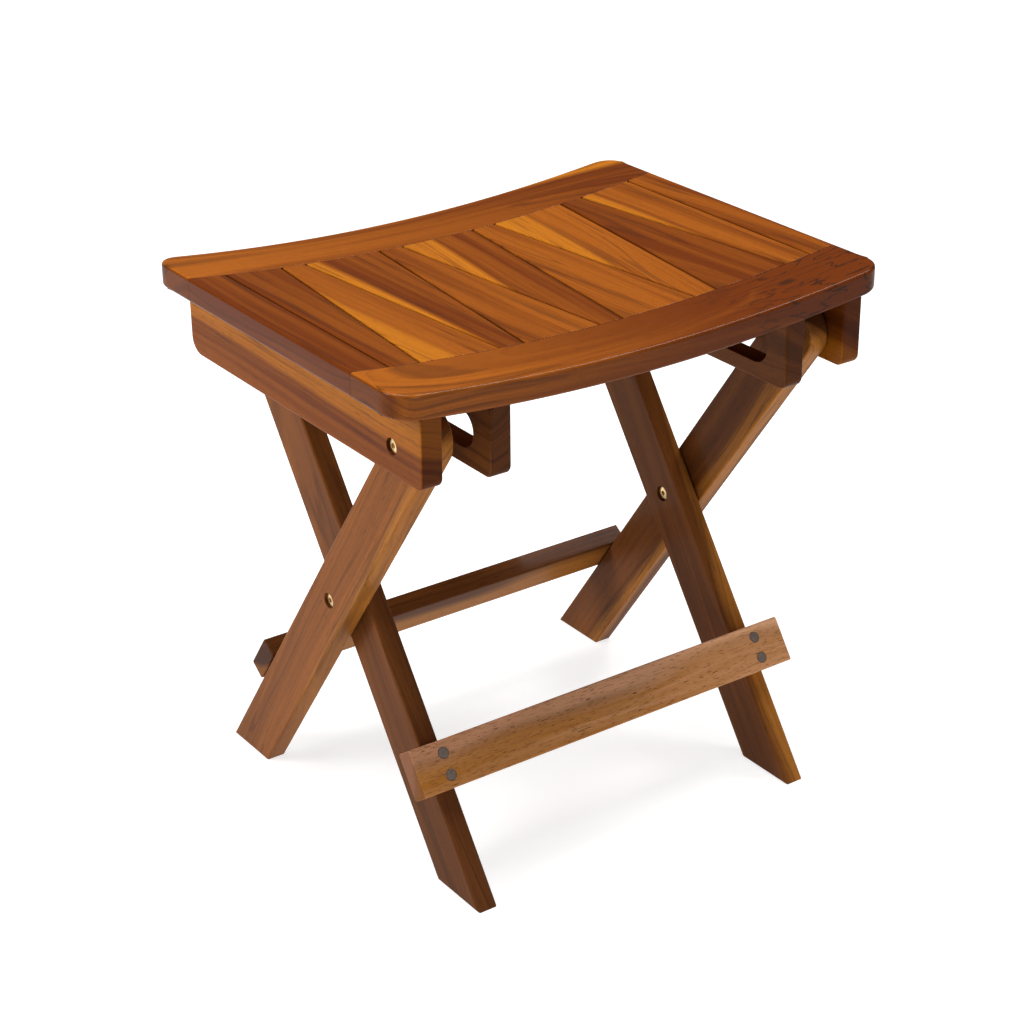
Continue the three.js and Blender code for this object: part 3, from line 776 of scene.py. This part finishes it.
# Where in the tree each seat board was cut, from the left: pith across and below, slope of the pith
# across and upwards, and how dark the board is at its front and at its back.
SLAT_CUTS = (
    ("seat_end_slat_left", (0.062, -0.030), (0.02, 0.01), (0.85, 0.80)),
    ("seat_slat_1", (0.050, -0.045), (0.03, 0.02), (0.66, 0.62)),
    ("seat_slat_2", (0.080, -0.050), (0.08, 0.02), (0.20, 0.30)),
    ("seat_slat_3", (0.079, -0.040), (0.05, 0.02), (0.60, 0.66)),
    ("seat_slat_4", (-0.055, -0.050), (0.02, 0.03), (0.22, 0.34)),
    ("seat_slat_5", (0.075, -0.040), (-0.06, 0.02), (0.66, 0.58)),
    ("seat_slat_6", (-0.060, -0.045), (0.05, -0.02), (0.22, 0.26)),
    ("seat_slat_7", (0.078, -0.040), (-0.10, 0.02), (0.26, 0.08)),
    ("seat_slat_8", (-0.040, -0.060), (0.02, 0.02), (0.82, 0.86)),
    ("seat_slat_9", (0.081, -0.042), (0.03, 0.02), (0.22, 0.26)),
    ("seat_end_slat_right", (-0.064, -0.040), (0.03, 0.02), (0.50, 0.40)),
)


def row_ends(node, y):
    """The x of a slat's two corners at one of its shoulders."""
    points = node_points(node)
    there = points[np.abs(points[:, 1] - y) < 1e-5]
    return there[:, 0].min(), there[:, 0].max()


class STOOL_OT_slats(StoolPiece, bpy.types.Operator):
    """Builds the end slats and the tapered slats of the seat"""

    bl_idname = "stool.slats"
    bl_label = "Seat slats"

    def build(self, sizes):
        gap, big, small = sizes.slat_round, sizes.edge_round, sizes.joint_round
        share = np.linspace(0, 1, 13)[:, None]
        inner = np.abs(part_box("seat_back_rail")[0].y) - FIT
        for index, (node, pith, tilt, tone) in enumerate(SLAT_CUTS):
            front_left, front_right = row_ends(node, -inner)
            back_left, back_right = row_ends(node, inner)
            left = np.array([front_left, -inner]) * (1 - share) + np.array([back_left, inner]) * share
            right = np.array([front_right, -inner]) * (1 - share) + np.array([back_right, inner]) * share
            left_edge = big if node.endswith("_left") else gap
            right_edge = big if node.endswith("_right") else gap
            rounding = (small, right_edge, small, left_edge)
            piece = dished_board(
                node.replace("seat_", ""), left, right, rounding, sizes.seat_thickness, columns=8, steps=4)
            place_piece(piece, node, "seat", "seat teak")
            grow(piece, Y_AXIS, X_AXIS, pith, tilt, shift=3.7 * index, tone=tone)


# ---------- aprons and cleats ----------


def board_outline(node, sizes):
    """Outline (y, z) of an apron or cleat: rounded lower corners, and a straight top."""
    low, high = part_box(node)
    front, back = sizes.front_corner, sizes.back_corner
    return np.vstack([
        arc((low.y + front, low.z + front), front, 180, 270, 8),
        arc((high.y - back, low.z + back), back, 270, 360, 12),
        [[high.y, high.z], [low.y, high.z]],
    ])


def screw_access(word, numbers, sizes):
    """Cutters for the holes that the seat screws drop into, from a board's lower edge."""
    cutters = []
    for number in numbers:
        node = f"seat_screw_{word}_{number}"
        low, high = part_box(node)
        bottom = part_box("apron_left" if number < 3 else "slotted_cleat_left")[0].z
        place = ((low.x + high.x) / 2, (low.y + high.y) / 2, bottom)
        cutters.append(hole(place, Z_AXIS, sizes.bore, low.z - bottom, sizes.hole_edge))
    return cutters


# Where in the tree the aprons and legs were cut, left and right: place of the pith, and how dark the
# board is at its front or foot and at its back or head.
APRON_CUTS = (((-0.030, 0.095), (0.50, 0.40)), ((0.035, -0.082), (0.60, 0.60)))
OUTER_LEG_CUTS = (((-0.050, 0.060), (0.30, 0.12)), ((0.060, 0.050), (0.70, 0.62)))
INNER_LEG_CUTS = (((0.055, 0.040), (1.00, 0.15)), ((-0.050, 0.070), (0.80, 0.66)))


class STOOL_OT_aprons(StoolPiece, bpy.types.Operator):
    """Builds the two aprons, each with its hinge bolt's hole"""

    bl_idname = "stool.aprons"
    bl_label = "Aprons"

    def build(self, sizes):
        for (word, side), (pith, tone) in zip(SIDES, APRON_CUTS):
            node = f"apron_{word}"
            low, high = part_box(node)
            piece = side_board(f"{word}_apron", board_outline(node, sizes), low.x, high.x, sizes.arris)
            outer, _ = board_faces(node, side)
            bolt = bolt_hole((outer, *HINGE), -side * X_AXIS, sizes)
            cut(piece, [bolt, *screw_access(word, (1, 2), sizes)])
            place_piece(piece, node, "seat", "apron teak")
            grow(piece, Y_AXIS, X_AXIS, pith, tilt=(0.0, 0.012), shift=23.0 + side, tone=tone)


class STOOL_OT_cleats(StoolPiece, bpy.types.Operator):
    """Builds the two cleats with the slots that the crossbar slides in"""

    bl_idname = "stool.cleats"
    bl_label = "Slotted cleats"

    def build(self, sizes):
        for word, side in SIDES:
            node = f"slotted_cleat_{word}"
            low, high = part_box(node)
            radius = BAR_RADIUS + sizes.slot_clearance
            front = (low.y + sizes.slot_post + radius, CROSSBAR[1])
            slot_outline = np.vstack([arc(front, radius, 90, 270, 24), arc(CROSSBAR, radius, -90, 90, 24)])
            piece = side_board(f"{word}_cleat", board_outline(node, sizes), low.x, high.x, sizes.arris)
            slot = side_board("cutter", slot_outline, low.x - OVER, high.x + OVER, sizes.hole_edge)
            cut(piece, [slot, *screw_access(word, (3, 4), sizes)])
            place_piece(piece, node, "seat", "leg teak")
            grow(piece, Y_AXIS, X_AXIS, pith=(0.03 * side, -0.06), tilt=(0.02, 0.04), shift=31.0 + side,
                 tone=(0.7, 0.7))


# ---------- legs and crossbar ----------


FOOT_TRIM = 0.0008               # how much a foot's two corners are drawn in


def leg_outline(pivot, up):
    """Outline (y, z) of a leg: round about its top pivot, and cut level at the floor."""
    half = LEG_WIDTH / 2
    angle = math.degrees(math.atan2(up[1], up[0]))
    floor_middle = pivot[0] - pivot[1] * up[0] / up[1]
    floor_half = half / up[1] - FOOT_TRIM
    return np.vstack([
        [[floor_middle - floor_half, 0], [floor_middle + floor_half, 0]],
        arc(pivot, half, angle - 90, angle + 90, 36),
    ])


def stretcher_wells(word, outward, sizes):
    """Cutters for the plug wells of a stretcher."""
    direction = -leg_direction(outward)
    cutters = []
    for number in range(1, 5):
        place, _ = axis_start(node_points(f"{word}_plug_{number}"), direction)
        cutters.append(hole(place, direction, sizes.plug_well, sizes.plug_depth, sizes.hole_edge / 3))
    return cutters


class STOOL_OT_outer_legs(StoolPiece, bpy.types.Operator):
    """Builds the two outer legs, which hang from the hinge bolts"""

    bl_idname = "stool.outer_legs"
    bl_label = "Outer legs"

    def build(self, sizes):
        outline = leg_outline(HINGE, OUTER_UP)
        for (word, side), (pith, tone) in zip(SIDES, OUTER_LEG_CUTS):
            node = f"outer_leg_{word}"
            outer, inner = board_faces(node, side)
            low_x, high_x = sorted((outer, inner))
            piece = side_board(f"{word}_outer_leg", outline, low_x, high_x, sizes.arris)
            cut(piece, [
                bolt_hole((inner, *HINGE), side * X_AXIS, sizes),
                bolt_hole((outer, *CROSSING), -side * X_AXIS, sizes)])
            place_piece(piece, node, "outer_legs", "leg teak")
            grow(piece, leg_direction(OUTER_UP), X_AXIS, pith, tilt=(0.01, -0.03), shift=41.0 + side,
                 tone=tone)


class STOOL_OT_inner_legs(StoolPiece, bpy.types.Operator):
    """Builds the two inner legs, which carry the crossbar"""

    bl_idname = "stool.inner_legs"
    bl_label = "Inner legs"

    def build(self, sizes):
        outline = leg_outline(CROSSBAR, INNER_UP)
        for (word, side), (pith, tone) in zip(SIDES, INNER_LEG_CUTS):
            node = f"inner_leg_{word}"
            outer, inner = board_faces(node, side)
            low_x, high_x = sorted((outer, inner))
            piece = side_board(f"{word}_inner_leg", outline, low_x, high_x, sizes.arris)
            depth = high_x - low_x + OVER / 2
            cut(piece, [
                hole((outer, *CROSSBAR), -side * X_AXIS, sizes.tenon_bore, depth, sizes.hole_edge),
                bolt_hole((inner, *CROSSING), side * X_AXIS, sizes)])
            place_piece(piece, node, "inner_legs", "leg teak")
            grow(piece, leg_direction(INNER_UP), X_AXIS, pith, tilt=(0.01, 0.03), shift=53.0 + side,
                 tone=tone)


class STOOL_OT_crossbar(StoolPiece, bpy.types.Operator):
    """Builds the round crossbar with its two tenons"""

    bl_idname = "stool.crossbar"
    bl_label = "Crossbar"

    def build(self, sizes):
        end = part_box("crossbar")[1].x
        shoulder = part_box("inner_leg_right")[0].x - FIT
        tenon = sizes.tenon_bore - FIT
        profile = [[-end, 0], [-end, tenon], [-shoulder, tenon], [-shoulder, BAR_RADIUS],
                   [shoulder, BAR_RADIUS], [shoulder, tenon], [end, tenon], [end, 0]]
        profile = softened(profile, radius=0.0008)
        piece = turned("crossbar_turned", profile, (0, *CROSSBAR), X_AXIS, sides=56)
        place_piece(piece, "crossbar", "inner_legs", "leg teak")
        grow(piece, X_AXIS, Y_AXIS, pith=(0.03, 0.05), tilt=(0.01, 0.01), shift=61.0, tone=(0.45, 0.45))


# ---------- stretchers and plugs ----------


class STOOL_OT_stretchers(StoolPiece, bpy.types.Operator):
    """Builds the front and back stretchers with the wells of their plugs"""

    bl_idname = "stool.stretchers"
    bl_label = "Stretchers"

    def build(self, sizes):
        woods = ((INNER_UP, (1.0, 0.0), "stretcher teak"), (OUTER_UP, (1.0, 0.8), "leg teak"))
        for (word, outward, body), (up, tone, material) in zip(STRETCHERS, woods):
            node = f"{word}_stretcher"
            rise, out = leg_direction(up), leg_direction(outward)
            low, high = span(node, rise)
            near, far = span(node, out)
            corners = np.array([[low, near], [high, near], [high, far], [low, far]])
            outline = corners[:, :1] * up + corners[:, 1:] * outward
            if up[0] * outward[1] - up[1] * outward[0] < 0:
                outline = outline[::-1]
            outline = softened_outline(outline, sizes.arris)
            left, right = span(node, X_AXIS)
            piece = side_board(f"{word}_stretcher_board", outline, left, right, sizes.arris / 2)
            cut(piece, stretcher_wells(word, outward, sizes))
            place_piece(piece, node, body, material)
            grow(piece, X_AXIS, rise, pith=(0.035, -0.085), tilt=(0.02, 0.01), shift=72.0, tone=tone)


class STOOL_OT_plugs(StoolPiece, bpy.types.Operator):
    """Builds the wood plugs over the stretchers' screws"""

    bl_idname = "stool.plugs"
    bl_label = "Plugs"

    def build(self, sizes):
        for word, outward, body in STRETCHERS:
            direction = -leg_direction(outward)
            for number in range(1, 5):
                node = f"{word}_plug_{number}"
                place, depth = axis_start(node_points(node), direction)
                left, right = span(node, X_AXIS)
                radius = (right - left) / 2
                profile = [[0, 0], [0, radius], [depth, radius], [depth, 0]]
                profile = softened(profile, radius=0.0002, steps=3)
                piece = turned(f"{node}_turned", profile, place, direction, sides=36)
                place_piece(piece, node, body, "plug end grain")


# ---------- brass, nylon and steel ----------


def hex_recess(place, direction, across_flats, depth):
    """A hexagonal cutter with a shallow point, which starts just above `place`."""
    radius = across_flats / math.sqrt(3)
    profile = [[-OVER / 2, 0], [-OVER / 2, radius], [depth, radius], [depth + radius * 0.3, 0]]
    return turned("cutter", profile, place, direction, sides=6, start=CUTTER_START)


class STOOL_OT_barrel_bolts(StoolPiece, bpy.types.Operator):
    """Builds the brass barrel bolts and nuts of the four pivots"""

    bl_idname = "stool.barrel_bolts"
    bl_label = "Barrel bolts and nuts"

    def build(self, sizes):
        for word, side in SIDES:
            for kind, at, body in PIVOTS:
                self.fitting(f"{kind}_bolt_{word}", at, body, side, shank=0.0027)
                self.fitting(f"{kind}_nut_{word}", at, body, -side, shank=0.0040, bore=0.0030)

    def fitting(self, node, at, body, outward, shank, bore=0.0):
        """A domed head with a hexagonal socket, on a shank or, for a nut, on a bored barrel.

        The head faces `outward` along X. Its dome falls with the radius to the power 2.4.
        """
        low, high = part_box(node)
        head = (high.z - low.z) / 2
        reach = high.x - low.x
        rim = high.x if outward > 0 else low.x
        place = (rim, *at)
        fall, thickness, tip, wall = 0.0006, 0.0022, 0.0006, 0.0045
        dome = [[fall * share ** 2.4, head * share] for share in (0.42, 0.55, 0.68, 0.8, 0.9)]
        profile = [[0, 0], [0, head * 0.36], *dome, [1.5 * fall, head], [thickness, head],
                   [thickness, shank], [reach - tip, shank], [reach, shank - tip], [reach, 0]]
        profile = softened(profile, radius=0.00022, steps=3)
        piece = turned(f"{node}_turned", profile, place, -outward * X_AXIS, sides=56)
        cut(piece, [hex_recess(place, -outward * X_AXIS, across_flats=0.0040, depth=0.003)])
        if bore:
            cut(piece, [hole((rim - outward * reach, *at), outward * X_AXIS, bore, reach - wall, 0.0002)])
        place_piece(piece, node, body, "turned brass")


class STOOL_OT_washers(StoolPiece, bpy.types.Operator):
    """Builds the nylon washers between the boards"""

    bl_idname = "stool.washers"
    bl_label = "Washers"

    def build(self, sizes):
        for word, _ in SIDES:
            for kind, at, body in PIVOTS:
                node = f"{kind}_washer_{word}"
                low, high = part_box(node)
                rim = (high.z - low.z) / 2
                thickness = high.x - low.x
                profile = [[0, sizes.bore], [0, rim], [thickness, rim], [thickness, sizes.bore],
                           [0, sizes.bore]]
                profile = softened(profile, radius=0.0003, steps=3)
                piece = turned(f"{node}_turned", profile, (low.x, *at), X_AXIS, sides=48)
                place_piece(piece, node, body, "moulded nylon")


class STOOL_OT_screws(StoolPiece, bpy.types.Operator):
    """Builds the steel screws under the plugs and in the aprons and cleats"""

    bl_idname = "stool.screws"
    bl_label = "Steel screws"

    def build(self, sizes):
        for word, _ in SIDES:
            for number in range(1, 5):
                self.screw(f"seat_screw_{word}_{number}", Z_AXIS, "seat")
        for word, outward, body in STRETCHERS:
            for number in range(1, 5):
                self.screw(f"{word}_stretcher_screw_{number}", -leg_direction(outward), body)

    def screw(self, node, direction, body):
        """A countersunk screw: ring k of its thread lies at k * pitch / 2 and swaps root and crest."""
        points = node_points(node)
        place, length = axis_start(points, direction)
        offset = points - place
        head = np.linalg.norm(offset - np.outer(offset @ direction, direction), axis=1).max()
        crest, root, pitch, tip = head * 0.50, head * 0.37, head * 0.36, head * 1.2
        turns = int((length - 2.4 * head - tip) / pitch)
        along = length - tip - pitch * (turns - np.arange(2 * turns) / 2)
        thread = np.stack([along, np.tile([root, crest], turns)], 1)
        profile = [[0, 0], [0, head], [head * 0.12, head], [head, crest], [2.2 * head, crest],
                   *thread, [length - tip, root], [length, 0]]
        piece = turned(f"{node}_threaded", profile, place, direction, sides=24)
        cut(piece, [hex_recess(place, direction, head * 0.85, head * 0.55)])
        place_piece(piece, node, body, "zinc-plated steel")


# ---------- stage ----------


FLOOR_REACH = 9.0                # from the middle to each side of the floor
WORLD_LIGHT = 0.10               # the backdrop's strength where it lights the wood
WHITE = (1.0, 1.0, 1.0, 1.0)

# Each light's name, place, width in metres and power in watts. All face LIT_PLACE.
LIGHTS = (
    ("top softbox", (-0.2, 0.1, 2.6), 1.5, 80),
    ("left softbox", (-2.3, 0.6, 1.7), 1.2, 62),
    ("rim softbox", (1.5, -0.1, 2.5), 0.7, 28),
    ("front fill", (0.5, -2.5, 1.1), 1.0, 16),
)
LIT_PLACE = Vector((0, 0, 0.25))

# The camera stands in front of the left end and looks down. Angles are in degrees, lens and film in mm.
CAMERA_AZIMUTH = 35.09
CAMERA_ELEVATION = 25.67
CAMERA_ROLL = -0.5
CAMERA_LENS = 82.66
CAMERA_FILM = 36
CAMERA_DISTANCE = 2.019
SEEN_PLACE = Vector((0.0316, 0.0545, 0.2))


class STOOL_OT_stage(bpy.types.Operator):
    """Sets a plain pale floor, soft lights and the camera"""

    bl_idname = "stool.stage"
    bl_label = "Stage"

    def execute(self, context):
        self.floor(context.scene.stool_colours)
        self.world(context.scene)
        self.lights(context.scene)
        self.camera(context.scene)
        context.scene.view_settings.view_transform = "Standard"
        return {"FINISHED"}

    def floor(self, colours):
        """A matt floor just under the feet, which glows a little more towards its far edges."""
        points = np.array([[-1, -1], [1, -1], [1, 1], [-1, 1]]) * FLOOR_REACH
        floor = make_object("floor", np.hstack([points, np.full((4, 1), -FIT)]), [[0, 1, 2, 3]])
        paper = bpy.data.materials.new("floor paper")
        g = Graph(paper)
        place = g.place()
        speck = g.noise(place, 300.0)
        glow = g.mix((0.76, 0.76, 0.76, 1.0), WHITE, g.step(g.length(place), 1.0, 3.0))
        g.surface({
            "Base Color": g.mix(opaque(colours.floor), (0.97, 0.97, 0.97, 1.0), speck * 0.3, "MULTIPLY"),
            "Roughness": speck * 0.1 + 0.6,
            "Specular IOR Level": 0.1,
            "Emission Color": glow,
            "Emission Strength": 1.0,
        })
        floor.data.materials.append(paper)

    def world(self, scene):
        """A backdrop that the camera sees white, and that lights the wood only a little."""
        scene.world = bpy.data.worlds.new("studio")
        g = Graph(scene.world)
        seen = g.node("ShaderNodeLightPath", {}, {}, "Is Camera Ray")
        strength = seen * (1.0 - WORLD_LIGHT) + WORLD_LIGHT
        backdrop = g.node("ShaderNodeBackground", {}, {"Color": WHITE, "Strength": strength})
        g.node("ShaderNodeOutputWorld", {}, {"Surface": backdrop})

    def lights(self, scene):
        """Square soft lights."""
        for name, place, size, power in LIGHTS:
            data = bpy.data.lights.new(name, "AREA")
            data.shape = "SQUARE"
            data.size = size
            data.energy = power
            light = bpy.data.objects.new(name, data)
            light.location = place
            light.rotation_euler = (LIT_PLACE - Vector(place)).to_track_quat("-Z", "Y").to_euler()
            scene.collection.objects.link(light)

    def camera(self, scene):
        """A long lens that looks at SEEN_PLACE."""
        azimuth, elevation = math.radians(CAMERA_AZIMUTH), math.radians(CAMERA_ELEVATION)
        back = Vector((
            -math.sin(azimuth) * math.cos(elevation),
            -math.cos(azimuth) * math.cos(elevation),
            math.sin(elevation)))
        data = bpy.data.cameras.new("camera")
        data.sensor_width = CAMERA_FILM
        data.lens = CAMERA_LENS
        camera = bpy.data.objects.new("camera", data)
        camera.location = SEEN_PLACE + back * CAMERA_DISTANCE
        camera.rotation_mode = "QUATERNION"
        level = (-back).to_track_quat("-Z", "Y")
        camera.rotation_quaternion = Quaternion(back, math.radians(CAMERA_ROLL)) @ level
        scene.collection.objects.link(camera)
        scene.camera = camera


# ---------- sidebar ----------


OPERATORS = (
    STOOL_OT_finishes,
    STOOL_OT_rails,
    STOOL_OT_slats,
    STOOL_OT_aprons,
    STOOL_OT_cleats,
    STOOL_OT_outer_legs,
    STOOL_OT_inner_legs,
    STOOL_OT_crossbar,
    STOOL_OT_stretchers,
    STOOL_OT_plugs,
    STOOL_OT_barrel_bolts,
    STOOL_OT_washers,
    STOOL_OT_screws,
    STOOL_OT_stage,
)


class STOOL_PT_sidebar(bpy.types.Panel):
    """Lists the stool's finishes, pieces and stage"""

    bl_idname = "STOOL_PT_sidebar"
    bl_label = "Folding Stool"
    bl_space_type = "VIEW_3D"
    bl_region_type = "UI"
    bl_category = "Stool"

    def draw(self, context):
        for operator in OPERATORS:
            self.layout.operator(operator.bl_idname)


CLASSES = (StoolSizes, StoolColours, *OPERATORS, STOOL_PT_sidebar)


def register():
    for cls in CLASSES:
        bpy.utils.register_class(cls)
    bpy.types.Scene.stool_sizes = bpy.props.PointerProperty(type=StoolSizes)
    bpy.types.Scene.stool_colours = bpy.props.PointerProperty(type=StoolColours)


def unregister():
    del bpy.types.Scene.stool_colours
    del bpy.types.Scene.stool_sizes
    for cls in reversed(CLASSES):
        bpy.utils.unregister_class(cls)


def main():
    """Builds the whole stool and its stage."""
    register()
    for operator in OPERATORS:
        group, name = operator.bl_idname.split(".")
        getattr(getattr(bpy.ops, group), name)()


if __name__ == "__main__":
    main()
